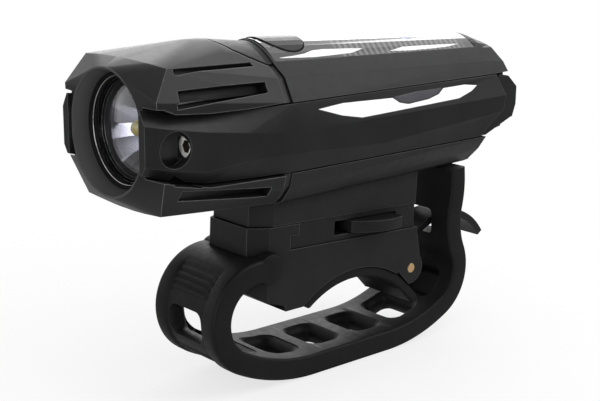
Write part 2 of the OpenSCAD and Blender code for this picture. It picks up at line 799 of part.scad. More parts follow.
// Outline of the glossy panel's section, from its edge to the middle
function panel_half(t, drop) = crown_half(blend(ridge_half_w - 0.5, 7.5, t),
    ridge_z - tail_drop * t + 0.25 - drop, blend(crown_front, crown_tail, t));
panel_y0 = body_y + 0.8;
panel_y1 = shell_end - 6.1;

// Solid of the top panel, or the recess for it when gap is above 0
module panel_form(gap) {
    top = gap > 0 ? 3 : 0;
    intersection() {
        loft([for (t = [-0.05, 1.05]) at_y(blend(panel_y0, panel_y1, t),
            panel_ring(panel_half(t, 0), panel_half(t, panel_t + gap), gap, top))]);
        translate([-20, panel_y0 - gap, 0]) cube([40, panel_y1 - panel_y0 + 2 * gap, 30]);
    }
}
function panel_ring(upper, lower, gap, top) = concat(
    [for (i = [0 : len(lower) - 1]) [-lower[i][0] - gap, lower[i][1]]],
    [for (i = [len(lower) - 1 : -1 : 0]) [lower[i][0] + gap, lower[i][1]]],
    [for (i = [0 : len(upper) - 1]) [upper[i][0] + gap, upper[i][1] + top]],
    [for (i = [len(upper) - 1 : -1 : 0]) [-upper[i][0] - gap, upper[i][1] + top]]);

button_y = body_y + 7.9;
window_y = body_y + 46.5;
window_w = 8;
window_l = 6;

module window_cut() {
    translate([0, window_y, 0]) linear_extrude(40) wide_oval(window_w, window_l);
}

module button_cut(gap) {
    translate([0, button_y, 0]) linear_extrude(40) wide_oval(button_w + 2 * gap, button_l + 2 * gap);
}

// Plan of one white stripe near the panel's edge
module top_stripe_plan() {
    translate([0, body_y]) union() {
        polygon([[8.2, 2.4], [7.75, 7.7], [7.4, 10.4], [6.65, 13.5], [6.4, 16.5], [6.5, 23.4], [6.65, 28.9],
                 [7.65, 24.4], [8, 18.4], [8.3, 12.5], [8.3, 3.5]]);
        polygon([[7.55, 36.7], [6.6, 41.7], [6.4, 51.5], [6.3, 62], [7.05, 56.7], [7.4, 50], [7.65, 43.4]]);
    }
}

module top_panel() {
    color("#202126") in_light() difference() {
        panel_form(0);
        button_cut(button_gap);
        window_cut();
        both_sides() linear_extrude(40) top_stripe_plan();
    }
}

module top_stripes() {
    color("white") in_light() both_sides() intersection() {
        panel_form(0);
        linear_extrude(40) top_stripe_plan();
    }
}

module indicator_window() {
    color("#9fb6e8") in_light() intersection() {
        panel_form(0);
        window_cut();
    }
}

// Crown of the panel at the button, and the levels below it
button_t = (button_y - panel_y0) / (panel_y1 - panel_y0);
panel_top = ridge_z + 0.25 - tail_drop * button_t + blend(crown_front, crown_tail, button_t);
board_top = cell_z + cell_d / 2 + cell_gap + 0.6 + board_t;
switch_top = board_top + switch_h;

module power_button() {
    stem_z = switch_top + button_travel + 0.05;
    color("#2d2e33") in_light() union() {
        intersection() {
            translate([0, 0, button_proud]) panel_form(0);
            button_cut(0);
        }
        translate([0, button_y, stem_z]) cylinder(d = 3, h = panel_top - stem_z - panel_t / 2);
    }
}

module mode_switch() {
    color("#c8c8c8") in_light() translate([0, button_y, board_top]) union() {
        translate([-2.2, -2.2, 0]) cube([4.4, 4.4, switch_h - 0.5]);
        cylinder(d = 2.4, h = switch_h);
    }
}

module driver_board() {
    color("#2f6b45") in_light() translate([-board_w / 2, button_y - 6, board_top - board_t])
        cube([board_w, board_l, board_t]);
}

module battery_cell() {
    cell_r = cell_d / 2;
    color("#5a86b5") in_light() translate([0, cell_y, cell_z]) about_y() polygon([[0, 0], [3, 0], [3, 0.9],
        [cell_r - 0.6, 0.9], [cell_r, 1.5], [cell_r, cell_l - 0.5], [cell_r - 0.5, cell_l], [0, cell_l]]);
}

// Battery bay, cut from both shells
module cell_bay() {
    translate([0, body_y - past, cell_z]) rod_y(cell_d + 2 * cell_gap, cell_y - body_y + cell_l + 0.3 + past);
}

// Bay above the cell for the driver board and the foot of the button
module board_bay() {
    translate([-board_w / 2 - 0.2, button_y - 6.2, 0])
        cube([board_w + 0.4, board_l + 0.4, board_top + switch_h + 0.1]);
    button_cut(button_gap);
}

module upper_shell() {
    color("#2a2b2e") in_light() difference() {
        union() {
            loft([at_y(body_y, ring_of(upper_half(0))), at_y(shell_end - 4.1, ring_of(upper_half(1))),
                  at_y(shell_end, ring_of(upper_tail()))]);
            tongue_body();
        }
        panel_form(seam);
        cell_bay();
        board_bay();
        both_sides() plate_form(plate_gap / 2);
        // The rear cap's room behind the core
        translate([-20, core_end, -20]) cube([40, 20, 20 + chevron[0][1] + 0.1]);
    }
}

// End of the upper shell, drawn in all round
function upper_tail() = concat([[14, split_z], [13.7, 4.4], [11.8, 6.9]],
    crown_half(7.8, ridge_z - tail_drop - 0.3, 1.6));

// Plan of the foot, drawn in at its front
module foot_plan() {
    polygon([[-6.2, block_front + 0.6], [6.2, block_front + 0.6], [saddle_half_w, block_front + 5.6],
             [saddle_half_w, plate_y1], [-saddle_half_w, plate_y1], [-saddle_half_w, block_front + 5.6]]);
}

// Half width of the keel under the tail, and the side view of what is cut away beside it
keel_half_w = 9.8;
module tail_side_cut() {
    polygon([[light_l, -8], [shell_end - 8.4, -10.4], [shell_end - 9.6, -14.2], [shell_end - 10.6, -17.2],
             [shell_end - 12.6, -30], [light_l + past, -30], [light_l + past, -8]]);
}

module lower_shell() {
    color("#2a2b2e") difference() {
        union() {
            in_light() difference() {
                intersection() {
                    loft([at_y(body_y, ring_of(lower_half(0))), at_y(shell_end, ring_of(lower_half(1)))]);
                    side_slab(-30, 30) polygon([[0, 10], [light_l, 10], [light_l, -8], [shell_end - 4, -10.4],
                        [shell_end - 5, -13], [shell_end - 10, -17.6], [shell_end - 12.6, -30], [0, -30]]);
                }
                both_sides() side_slab(keel_half_w, 30) tail_side_cut();
                cell_bay();
                both_sides() plate_form(plate_gap / 2);
                translate([-20, core_end, -20]) cube([40, 20, 40]);
            }
            // Foot with flared sides below the belly
            in_rail() linear_extrude(5.4) foot_plan();
            intersection() {
                in_rail() linear_extrude(9) foot_plan();
                in_light() translate([-20, body_y, -30]) cube([40, 60, 12.4]);
            }
            in_light() side_flare();
        }
        // Slot for the rail, open at the rear
        in_rail() translate([-rail_stem - slide_gap, rail_y0 - 0.5, -past])
            cube([2 * (rail_stem + slide_gap), 60, past + rail_stem_h + slide_gap]);
        in_rail() translate([-rail_head - slide_gap, rail_y0 - 0.5, rail_stem_h - slide_gap])
            cube([2 * (rail_head + slide_gap), 60, rail_head_t + 2 * slide_gap]);
    }
}

// Flare between the foot and the belly
module side_flare() {
    loft([at_y(body_y + 2, flare_ring), at_y(plate_y1 - 0.2 - light_y, flare_ring)]);
}
flare_ring = [[-saddle_half_w, -21], [saddle_half_w, -21], [11.4, -17.9], [-11.4, -17.9]];

// Rear cap: a chevron block that wraps round the tail
cap_half_w = 14.3;
cap_cut = 0.8;
cap_back = [[shell_end - 4.2, 4.3], [light_l - 1.6, 3.3], [light_l, 0.6], [light_l, -1.6], [light_l - 2, -7],
            [shell_end - 5.2, -10.3], [shell_end - 10.8, -10.3]];
cap_y0 = shell_end - 20;
cover_z = -2.2;
recess_y = light_l - 2;

// Slopes that the cap's sides have above and below
module cap_side_cut() {
    polygon([[shell_end - 1.5, 4.4], [light_l, 0.1], [light_l + past, 0.1], [light_l + past, 4.4]]);
    polygon([[light_l - 2.4, -6.8], [shell_end - 8.6, -10.4], [light_l + past, -10.4],
             [light_l + past, -6.8]]);
}

module rear_cap() {
    color("#232427") in_light() difference() {
        intersection() {
            side_slab(-cap_half_w, cap_half_w) polygon(cap_back);
            linear_extrude(60, center = true) polygon([[-cap_half_w, cap_y0], [cap_half_w, cap_y0],
                [cap_half_w, light_l - cap_cut], [cap_half_w - cap_cut, light_l],
                [cap_cut - cap_half_w, light_l], [-cap_half_w, light_l - cap_cut]]);
        }
        side_slab(-30, 30) ahead_of_chevron(0.2);
        both_sides() side_slab(keel_half_w, 30) cap_side_cut();
        translate([-plate_in, cap_y0, -30]) cube([2 * plate_in, core_end + 0.1 - cap_y0, 60]);
        // Recess for the port cover and the socket behind it
        translate([0, recess_y, cover_z]) rotate([-90, 0, 0]) linear_extrude(10)
            round_rect(cover_w + 2 * cover_gap, cover_h + 2 * cover_gap, 1.6);
        translate([-usb_w / 2 - 0.05, cap_y0, cover_z - usb_h / 2 - 0.05])
            cube([usb_w + 0.1, 30, usb_h + 0.1]);
    }
}

usb_w = 7.6;
usb_h = 2.8;

module usb_socket() {
    color("#b9bcc0") in_light() difference() {
        translate([-usb_w / 2, core_end + 0.2, cover_z - usb_h / 2])
            cube([usb_w, recess_y - core_end - 0.4, usb_h]);
        translate([-usb_w / 2 + 0.4, core_end + 0.8, cover_z - usb_h / 2 + 0.4])
            cube([usb_w - 0.8, 10, usb_h - 0.8]);
    }
}

module port_cover() {
    color("#1b1b1d") in_light() translate([0, recess_y + 0.1, cover_z]) rotate([-90, 0, 0])
        linear_extrude(cover_t) round_rect(cover_w, cover_h, 1.4);
}

module side_plate_screws() {
    color("#d0d2d6") in_light() both_sides() translate([screw_x, screw_y, screw_z]) difference() {
        union() {
            rod_y(screw_head_d, screw_head_l);
            rod_y(screw_d, screw_head_l + screw_l - 0.2);
        }
        rotate([-90, 0, 0]) translate([0, 0, -past]) cylinder(d = socket_d, h = past + 1.3, $fn = 6);
    }
}

module side_plate_right() { color("#2e2f33") side_plate(); }
module side_plate_left() { color("#2e2f33") mirror([1, 0, 0]) side_plate(); }
module side_stripe_right() { color("white") side_inlay() stripe_outline(); }
module side_stripe_left() { color("white") mirror([1, 0, 0]) side_inlay() stripe_outline(); }
module side_marker_right() { color("#5c5b6a") side_inlay() marker_outline(); }
module side_marker_left() { color("#5c5b6a") mirror([1, 0, 0]) side_inlay() marker_outline(); }

saddle();
saddle_liner();
rail_plate();
rail_screws();
lever_pin();
hook_pin();
strap();
strap_hook();
release_lever();
head_shell();
lens_retainer();
lens_seal();
front_lens();
reflector();
led_emitter();
led_board();
heat_sink();
gasket_ring();
upper_shell();
lower_shell();
side_plate_right();
side_plate_left();
side_stripe_right();
side_stripe_left();
side_marker_right();
side_marker_left();
side_plate_screws();
top_panel();
top_stripes();
indicator_window();
power_button();
mode_switch();
driver_board();
battery_cell();
rear_cap();
usb_socket();
port_cover();
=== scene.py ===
import math

import bmesh
import bpy
from mathutils import Matrix, Vector


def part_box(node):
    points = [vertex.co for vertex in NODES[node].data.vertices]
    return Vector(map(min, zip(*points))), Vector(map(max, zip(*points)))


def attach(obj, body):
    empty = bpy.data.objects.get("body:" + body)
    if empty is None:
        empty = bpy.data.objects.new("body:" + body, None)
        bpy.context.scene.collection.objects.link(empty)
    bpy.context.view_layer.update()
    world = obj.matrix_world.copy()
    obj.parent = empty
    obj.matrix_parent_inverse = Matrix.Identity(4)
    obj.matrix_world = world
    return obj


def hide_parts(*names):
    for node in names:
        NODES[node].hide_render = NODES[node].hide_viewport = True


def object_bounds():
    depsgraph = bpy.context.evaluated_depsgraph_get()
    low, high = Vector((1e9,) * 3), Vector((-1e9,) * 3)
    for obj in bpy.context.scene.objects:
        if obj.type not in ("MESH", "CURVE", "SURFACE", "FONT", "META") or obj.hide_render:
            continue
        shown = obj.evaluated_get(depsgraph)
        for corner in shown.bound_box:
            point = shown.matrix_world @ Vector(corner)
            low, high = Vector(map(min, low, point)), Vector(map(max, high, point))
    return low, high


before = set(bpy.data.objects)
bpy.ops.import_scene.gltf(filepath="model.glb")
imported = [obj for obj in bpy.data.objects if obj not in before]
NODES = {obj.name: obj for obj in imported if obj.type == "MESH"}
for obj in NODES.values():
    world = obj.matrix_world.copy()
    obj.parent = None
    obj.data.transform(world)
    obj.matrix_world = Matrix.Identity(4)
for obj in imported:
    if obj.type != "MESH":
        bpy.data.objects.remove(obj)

CAD_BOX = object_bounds()
MM = 0.001
# The bezel's front edge and the height of the lens axis, in mm
LIGHT_Y, AXIS_Z = -62.0, 41.0
WHITE = (1, 1, 1, 1)
scene = bpy.context.scene
scene.view_settings.view_transform = "Standard"


# Camera, solved from the photograph

# Azimuth, elevation and roll in degrees, place in mm, lens and sensor in mm, near limit in metres
CAMERA_TURN = (48.7, 14.2, 0.64)
CAMERA_EYE = (207.07, -191.80, 88.51)
CAMERA_LENS, CAMERA_SENSOR, CAMERA_NEAR = 73.44, 36, 0.005


def make_camera():
    azimuth, elevation, roll = (math.radians(a) for a in CAMERA_TURN)
    right = Vector((math.cos(azimuth), math.sin(azimuth), 0))
    back = Vector((math.sin(azimuth) * math.cos(elevation), -math.cos(azimuth) * math.cos(elevation),
                   math.sin(elevation)))
    up = back.cross(right)
    x = right * math.cos(roll) + up * math.sin(roll)
    y = up * math.cos(roll) - right * math.sin(roll)
    data = bpy.data.cameras.new("camera")
    data.sensor_width = CAMERA_SENSOR
    data.lens = CAMERA_LENS
    data.clip_start = CAMERA_NEAR
    cam = bpy.data.objects.new("camera", data)
    eye = Vector(CAMERA_EYE) * MM
    cam.matrix_world = Matrix([(x[i], y[i], back[i], eye[i]) for i in range(3)] + [(0, 0, 0, 1)])
    scene.collection.objects.link(cam)
    scene.camera = cam


# Node helpers

def add(nt, kind, inputs=None, **settings):
    """A new node with its settings, and its inputs set to values or linked to sockets."""
    n = nt.nodes.new(kind)
    for k, v in settings.items():
        setattr(n, k, v)
    for k, v in (inputs or {}).items():
        if isinstance(v, bpy.types.NodeSocket):
            nt.links.new(v, n.inputs[k])
        else:
            n.inputs[k].default_value = v
    return n


def math_node(nt, op, a, b, clamp=False):
    return add(nt, "ShaderNodeMath", {0: a, 1: b}, operation=op, use_clamp=clamp).outputs[0]


def product(nt, a, b):
    return math_node(nt, "MULTIPLY", a, b)


def larger(nt, a, b):
    return math_node(nt, "MAXIMUM", a, b)


def dot(nt, a, b):
    return add(nt, "ShaderNodeVectorMath", {0: a, 1: b}, operation="DOT_PRODUCT").outputs["Value"]


def length(nt, vector):
    return add(nt, "ShaderNodeVectorMath", {0: vector}, operation="LENGTH").outputs["Value"]


def axes(nt, vector):
    return add(nt, "ShaderNodeSeparateXYZ", {0: vector}).outputs


def mix_colour(nt, factor, a, b):
    return add(nt, "ShaderNodeMix", {0: factor, 6: a, 7: b}, data_type="RGBA").outputs[2]


def spread(nt, value, lo, hi, from_lo=0.3, from_hi=0.7):
    """Maps a value from one range to another. The usual first range is that of a noise."""
    return add(nt, "ShaderNodeMapRange", {0: value, 1: from_lo, 2: from_hi, 3: lo, 4: hi}).outputs[0]


def rgb(value, tint=(1, 1, 1)):
    return (value * tint[0], value * tint[1], value * tint[2], 1)


def place(nt):
    """Coordinates of the piece itself, in metres."""
    return add(nt, "ShaderNodeTexCoord").outputs["Object"]


def noise(nt, at, scale, detail=3.0):
    return add(nt, "ShaderNodeTexNoise", {"Vector": at, "Scale": scale, "Detail": detail,
                                          "Roughness": 0.55}).outputs["Fac"]


def occlusion(nt, reach):
    return add(nt, "ShaderNodeAmbientOcclusion", {"Distance": reach * MM}, samples=4).outputs["AO"]


# Materials

# Painted shade in cavities: open sky at which it is full and at which it ends, its share of the colour, and its
# added roughness
SHADE_SKY, SHADE_TONE, SHADE_ROUGH = (0.4, 0.88), 0.12, 0.6
# Painted highlight on edges: cosine of an edge's turn at which it is full and at which it ends. The open sky
# within EDGE_REACH mm tells a ridge, which gets the painted highlight, from a groove
EDGE_TURN, EDGE_SKY, EDGE_REACH = (0.92, 0.992), (0.75, 0.93), 0.5
# How much finer the gloss varies than the colour
FINER = 7


def new_material(name):
    m = bpy.data.materials.new(name)
    m.use_nodes = True
    nt = m.node_tree
    return m, nt, nt.nodes["Principled BSDF"]


def surface(name, colours, rough, grain=None, bevel=0.25, edge_highlight=None, specular=0.5, metallic=0.0, coat=0.0,
            tint=(1, 1, 1), shade_reach=1.2):
    """Moulded, cast or cut surface: two close tones in soft patches, uneven gloss, fine grain, a painted
    highlight on ridges and painted shade in cavities.

    colours and rough give the low and high end, grain is [size in mm, depth in mm], edge_highlight is the
    painted highlight's [tone, amount] and shade_reach is the reach in mm of the painted shade."""
    patch, coat_rough = 120, 0.05
    m, nt, shader = new_material(name)
    at = place(nt)
    broad = noise(nt, at, patch)
    fine = noise(nt, at, patch * FINER, 4)
    colour = mix_colour(nt, spread(nt, broad, 0, 1), rgb(colours[0], tint), rgb(colours[1], tint))
    # Painted shade where little open sky is near: a darker colour here, and a rougher gloss further down
    painted_shade = spread(nt, occlusion(nt, shade_reach), 1, 0, *SHADE_SKY)
    colour = mix_colour(nt, painted_shade, colour, rgb(colours[0] * SHADE_TONE))
    round_edges = add(nt, "ShaderNodeBevel", {"Radius": bevel * MM}, samples=6).outputs[0]
    # Painted highlight: a lighter tone on ridges, uneven along them
    if edge_highlight:
        tone, amount = edge_highlight
        flat = add(nt, "ShaderNodeNewGeometry").outputs["Normal"]
        edge = spread(nt, dot(nt, round_edges, flat), amount, 0, *EDGE_TURN)
        painted_highlight = product(nt, edge, spread(nt, fine, 0.6, 1))
        painted_highlight = product(nt, painted_highlight, spread(nt, occlusion(nt, EDGE_REACH), 0, 1, *EDGE_SKY))
        colour = mix_colour(nt, painted_highlight, colour, rgb(tone))
    nt.links.new(colour, shader.inputs["Base Color"])
    gloss = math_node(nt, "ADD", spread(nt, fine, *rough), product(nt, painted_shade, SHADE_ROUGH), True)
    nt.links.new(gloss, shader.inputs["Roughness"])
    normal = round_edges
    if grain:
        size, depth = grain
        pebble = noise(nt, at, 1 / (size * MM), 2)
        normal = add(nt, "ShaderNodeBump", {"Strength": 1, "Distance": depth * MM, "Height": pebble,
                                            "Normal": round_edges}).outputs[0]
    nt.links.new(normal, shader.inputs["Normal"])
    shader.inputs["Specular IOR Level"].default_value = specular
    shader.inputs["Metallic"].default_value = metallic
    if coat:
        shader.inputs["Coat Weight"].default_value = coat
        shader.inputs["Coat Roughness"].default_value = coat_rough
        nt.links.new(round_edges, shader.inputs["Coat Normal"])
    return m


def paint(m, factor, colour):
    """Mixes a colour over the base colour that a material has."""
    nt = m.node_tree
    base = nt.nodes["Principled BSDF"].inputs["Base Color"]
    nt.links.new(mix_colour(nt, factor, base.links[0].from_socket, colour), base)


def paint_bezel_light(m):
    """Painted light on the cone round the lens: a lighter tone, fading towards the lens."""
    edge, soft = 13.1, 0.2
    front, deep, left_over = 1.0, 5.0, 0.35
    nt = m.node_tree
    centre = Vector((0, LIGHT_Y, AXIS_Z)) * MM
    at = axes(nt, add(nt, "ShaderNodeVectorMath", {0: place(nt), 1: centre}, operation="SUBTRACT").outputs[0])
    across = add(nt, "ShaderNodeCombineXYZ", {0: at["X"], 2: at["Z"]}).outputs[0]
    bore = spread(nt, length(nt, across), 1, 0, edge * MM, (edge + soft) * MM)
    paint(m, product(nt, bore, spread(nt, at["Y"], 1, left_over, front * MM, deep * MM)), rgb(0.06))
    return m


def weave(m):
    """Fine diagonal stripes in the middle of the top panel."""
    fineness = 370
    start, end = (-6, -5), (36, 38)
    nt = m.node_tree
    at = place(nt)
    bands = add(nt, "ShaderNodeTexWave", {"Vector": at, "Scale": fineness}, wave_type="BANDS",
                bands_direction="DIAGONAL").outputs["Fac"]
    along = axes(nt, at)["Y"]
    area = product(nt, spread(nt, along, 0, 1, *(v * MM for v in start)),
                   spread(nt, along, 1, 0, *(v * MM for v in end)))
    paint(m, product(nt, spread(nt, bands, 0, 1), area), rgb(0.13, (1, 0.95, 0.95)))
    return m


def paint_socket_shade(m):
    """Painted shade in the sockets of the side plates' screws: dark on all that lies behind their bright faces.
    """
    near, far = 0.15, 0.3
    nt = m.node_tree
    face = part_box("side_plate_screws")[0].y
    below = spread(nt, axes(nt, place(nt))["Y"], 0, 1, face + near * MM, face + far * MM)
    paint(m, below, rgb(0.02, (1.2, 0.9, 0.7)))
    return m


def paint_mouth_shade(m):
    """Painted shade in the mouth of the reflector, which clears towards its bottom."""
    mouth, clear = 7.0, 11.4
    nt = m.node_tree
    depth = axes(nt, place(nt))["Y"]
    paint(m, spread(nt, depth, 1, 0, (LIGHT_Y + mouth) * MM, (LIGHT_Y + clear) * MM), rgb(0.05))
    return m


def clear_plastic(name):
    m, nt, shader = new_material(name)
    shader.inputs["Base Color"].default_value = (0.95, 0.95, 1, 1)
    shader.inputs["Transmission Weight"].default_value = 1
    shader.inputs["IOR"].default_value = 1.49
    nt.links.new(spread(nt, noise(nt, place(nt), 300), 0.0, 0.02), shader.inputs["Roughness"])
    return m


def dress(material, *names):
    for n in names:
        slots = NODES[n].material_slots
        for s in slots:
            s.material = material
        if not slots:
            NODES[n].data.materials.append(material)


def make_materials():
    """Dresses the CAD nodes, and returns the materials that the new pieces share with them."""
    cool = (0.97, 0.98, 1.06)
    black = dict(specular=0.2, edge_highlight=[0.12, 0.7], tint=cool, shade_reach=2.5)
    cast = dict(specular=0.2, edge_highlight=[0.17, 0.9], tint=cool, shade_reach=6)
    head = surface("head_black", (0.009, 0.012), (0.37, 0.41), [0.22, 0.0012], 0.3, **cast)
    dress(paint_bezel_light(head), "head_shell")
    dress(surface("shell_black", (0.010, 0.014), (0.38, 0.48), [0.25, 0.005], 0.25, **black),
          "upper_shell", "lower_shell", "rear_cap")
    dress(surface("plate_black", (0.010, 0.013), (0.34, 0.42), [0.25, 0.003], 0.25, **black),
          "side_plate_right", "side_plate_left")
    dress(surface("bracket_black", (0.008, 0.011), (0.42, 0.55), [0.3, 0.006], 0.25, **black),
          "saddle", "rail_plate", "release_lever", "strap_hook")
    dress(surface("ring_black", (0.006, 0.008), (0.5, 0.6), [0.3, 0.005], 0.15),
          "gasket_ring", "lens_seal")
    dress(surface("retainer_black", (0.003, 0.005), (0.6, 0.7), [0.2, 0.002], 0.1, specular=0.1),
          "lens_retainer")
    dress(surface("button_satin", (0.012, 0.016), (0.3, 0.38), [0.3, 0.004], 0.2, **black),
          "power_button")
    dress(weave(surface("panel_black", (0.010, 0.013), (0.18, 0.24), None, 0.12, coat=1.0)),
          "top_panel")
    dress(surface("inlay_white", (0.92, 0.96), (0.16, 0.24), None, 0.12, coat=0.6),
          "side_stripe_right", "side_stripe_left", "top_stripes")
    dress(surface("marker_smoke", (0.05, 0.06), (0.2, 0.28), None, 0.12, tint=(0.95, 0.93, 1.1)),
          "side_marker_right", "side_marker_left")
    dress(surface("window_blue", (0.4, 0.5), (0.25, 0.35), None, 0.1, tint=(0.8, 0.9, 1.2)),
          "indicator_window")
    steel = surface("steel_bright", (0.62, 0.72), (0.16, 0.3), [0.15, 0.002], 0.1, metallic=1.0)
    dress(steel, "rail_screws", "lever_pin", "usb_socket", "mode_switch")
    nickel = surface("screw_nickel", (0.9, 0.95), (0.3, 0.38), [0.15, 0.002], 0.15, shade_reach=0.3,
                     tint=(1, 0.97, 0.93))
    dress(paint_socket_shade(nickel), "side_plate_screws")
    dress(surface("brass_bright", (0.62, 0.72), (0.2, 0.34), [0.15, 0.002], 0.1, metallic=1.0,
                  tint=(1, 0.66, 0.34)), "hook_pin")
    dress(surface("sink_bare", (0.55, 0.65), (0.35, 0.5), [0.2, 0.004], 0.15, metallic=1.0),
          "heat_sink")
    dress(surface("mask_green", (0.04, 0.06), (0.25, 0.4), [0.6, 0.01], 0.1, tint=(0.4, 1, 0.55)),
          "led_board", "driver_board")
    dress(surface("wrap_blue", (0.22, 0.28), (0.25, 0.35), None, 0.2, tint=(0.55, 0.9, 1.4)),
          "battery_cell")
    phosphor = surface("phosphor", (0.78, 0.85), (0.3, 0.4), [0.2, 0.004], 0.1, shade_reach=0.2,
                       tint=(1, 0.88, 0.3))
    dress(phosphor, "led_emitter")
    chrome = surface("bowl_chrome", (0.54, 0.64), (0.03, 0.07), [1.6, 0.01], 0.05, metallic=1.0,
                     tint=(0.96, 0.96, 1.05))
    dress(paint_mouth_shade(chrome), "reflector")
    glass = clear_plastic("lens_clear")
    dress(glass, "front_lens")
    rubber = surface("rubber_black", (0.005, 0.007), (0.46, 0.58), [0.35, 0.010], 0.2, specular=0.15,
                     edge_highlight=[0.04, 0.5])
    dress(rubber, "strap", "saddle_liner", "port_cover")
    return rubber, glass, chrome, steel, phosphor


# Rounded edges on the CAD nodes, as modifiers

# Width in mm, steps and smallest angle of the rounding, angle that counts as flat, and angle shaded as smooth
ROUND_WIDTH, ROUND_STEPS, ROUND_ANGLE, FLAT_ANGLE, SMOOTH_ANGLE = 0.22, 2, 11, 0.4, 32
WELD = 0.002


def geometry_group(name):
    g = bpy.data.node_groups.new(name, "GeometryNodeTree")
    for way in ("INPUT", "OUTPUT"):
        g.interface.new_socket("Geometry", in_out=way, socket_type="NodeSocketGeometry")
    return g, g.nodes.new("NodeGroupInput").outputs[0], g.nodes.new("NodeGroupOutput").inputs[0]


def clean_group():
    """Welds a node's points and drops its stored normals."""
    g, enter, leave = geometry_group("clean")
    weld = add(g, "GeometryNodeMergeByDistance", {"Geometry": enter, "Distance": WELD * MM})
    bare = add(g, "GeometryNodeRemoveAttribute", {"Geometry": weld.outputs[0], "Name": "custom_normal"})
    g.links.new(bare.outputs[0], leave)
    return g


def smooth_group():
    """Shades smooth across the edges that turn by less than SMOOTH_ANGLE."""
    g, enter, leave = geometry_group("smooth")
    faces = add(g, "GeometryNodeSetShadeSmooth", {"Geometry": enter, "Shade Smooth": True})
    angle = add(g, "GeometryNodeInputMeshEdgeAngle").outputs[0]
    soft = add(g, "FunctionNodeCompare", {0: angle, 1: math.radians(SMOOTH_ANGLE)}, data_type="FLOAT",
               operation="LESS_THAN").outputs[0]
    edges = add(g, "GeometryNodeSetShadeSmooth", {"Geometry": faces.outputs[0], "Shade Smooth": soft},
                domain="EDGE")
    g.links.new(edges.outputs[0], leave)
    return g


CLEAN, SMOOTH = clean_group(), smooth_group()


def finish_edges(obj):
    """Welds the node's triangles, rounds its sharp edges and shades it smooth between them."""
    obj.modifiers.new("clean", "NODES").node_group = CLEAN
    flat = obj.modifiers.new("flat", "DECIMATE")
    flat.decimate_type = "DISSOLVE"
    flat.angle_limit = math.radians(FLAT_ANGLE)
    edges = obj.modifiers.new("edges", "BEVEL")
    edges.width = ROUND_WIDTH * MM
    edges.segments = ROUND_STEPS
    edges.limit_method = "ANGLE"
    edges.angle_limit = math.radians(ROUND_ANGLE)
    edges.use_clamp_overlap = True
    obj.modifiers.new("smooth", "NODES").node_group = SMOOTH
    obj.modifiers.new("weighted", "WEIGHTED_NORMAL").keep_sharp = True


# Mesh helpers, in mm

def new_piece(name, verts, faces):
    mesh = bpy.data.meshes.new(name)
    mesh.from_pydata([Vector(v) * MM for v in verts], [], faces)
    mesh.validate()
    bm = bmesh.new()
    bm.from_mesh(mesh)
    bmesh.ops.recalc_face_normals(bm, faces=bm.faces)
    bm.to_mesh(mesh)
    bm.free()
    obj = bpy.data.objects.new(name, mesh)
    scene.collection.objects.link(obj)
    return obj


def carry(piece, material, body, slot, *nodes):
    """Dresses a new piece, and says which body it rides on and the nodes that it replaces. The slot argument is
    not used.
    """
    piece.data.materials.append(material)
    piece.modifiers.new("smooth", "NODES").node_group = SMOOTH
    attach(piece, body)
    if nodes:
        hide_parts(*nodes)


def skin(rows, n, base=0):
    """Faces over rows of n points each: quads from row to row, and a cap at each end. new_piece turns them
    outwards."""
    faces = []
    for i in range(rows - 1):
        low, high = base + i * n, base + (i + 1) * n
        for j in range(n):
            k = (j + 1) % n
            faces.append((low + j, low + k, high + k, high + j))
    for start in (base, base + (rows - 1) * n):
        faces.append(tuple(range(start, start + n)))
    return faces


def circle(steps):
    turns = (2 * math.pi * k / steps for k in range(steps))
    return [(math.cos(a), math.sin(a)) for a in turns]


def corner(cx, cy, r, a0, a1, steps=5):
    turns = (math.radians(a0 + (a1 - a0) * i / steps) for i in range(steps + 1))
    return [(cx + r * math.cos(a), cy + r * math.sin(a)) for a in turns]


def rect_ring(w, h, r, steps=5):
    x, y = w / 2 - r, h / 2 - r
    ring = []
    for cx, cy, a in ((x, y, 0), (-x, y, 90), (-x, -y, 180), (x, -y, 270)):
        ring += corner(cx, cy, r, a, a + 90, steps)
    return ring


def sweep_band(name, stations, profile):
    """Closed band: profile(i) gives the ring of (x, depth) at station i, which is (y, z, heading)."""
    verts = []
    for i, (y, z, heading) in enumerate(stations):
        a = math.radians(heading)
        verts += [(x, y - d * math.sin(a), z + d * math.cos(a)) for x, d in profile(i)]
    return new_piece(name, verts, skin(len(stations), len(profile(0))))


def lathe(name, profile, steps=128):
    """Solid turned about the lens axis: profile is a loop of (radius, distance behind the bezel's edge)."""
    verts, rows = [], []
    for r, y in profile:
        if r == 0:
            rows.append([len(verts)] * steps)
            verts.append((0, LIGHT_Y + y, AXIS_Z))
        else:
            rows.append(list(range(len(verts), len(verts) + steps)))
            verts += [(r * c, LIGHT_Y + y, AXIS_Z + r * s) for c, s in circle(steps)]
    faces = []
    for i, low in enumerate(rows):
        high = rows[(i + 1) % len(rows)]
        for k in range(steps):
            ring = [low[k], low[(k + 1) % steps], high[(k + 1) % steps], high[k]]
            face = [v for j, v in enumerate(ring) if v not in ring[:j]]
            if len(face) > 2:
                faces.append(face)
    return new_piece(name, verts, faces)


def carve(obj, *steps):
    """Applies Boolean steps to a piece and deletes the tools."""
    for op, tool in steps:
        m = obj.modifiers.new("carve", "BOOLEAN")
        m.operation = op
        m.solver = "EXACT"
        m.object = tool
    made = bpy.data.meshes.new_from_object(obj.evaluated_get(bpy.context.evaluated_depsgraph_get()))
    obj.modifiers.clear()
    old = obj.data
    obj.data = made
    made.name = old.name
    bpy.data.meshes.remove(old)
    for _, tool in steps:
        bpy.data.objects.remove(tool)


# Strap

STRAP_T, STRAP_W = 5.2, 22.0
# Bead at the front end: y, z and diameter
BEAD = (-27.4, 8.0, 7.0)
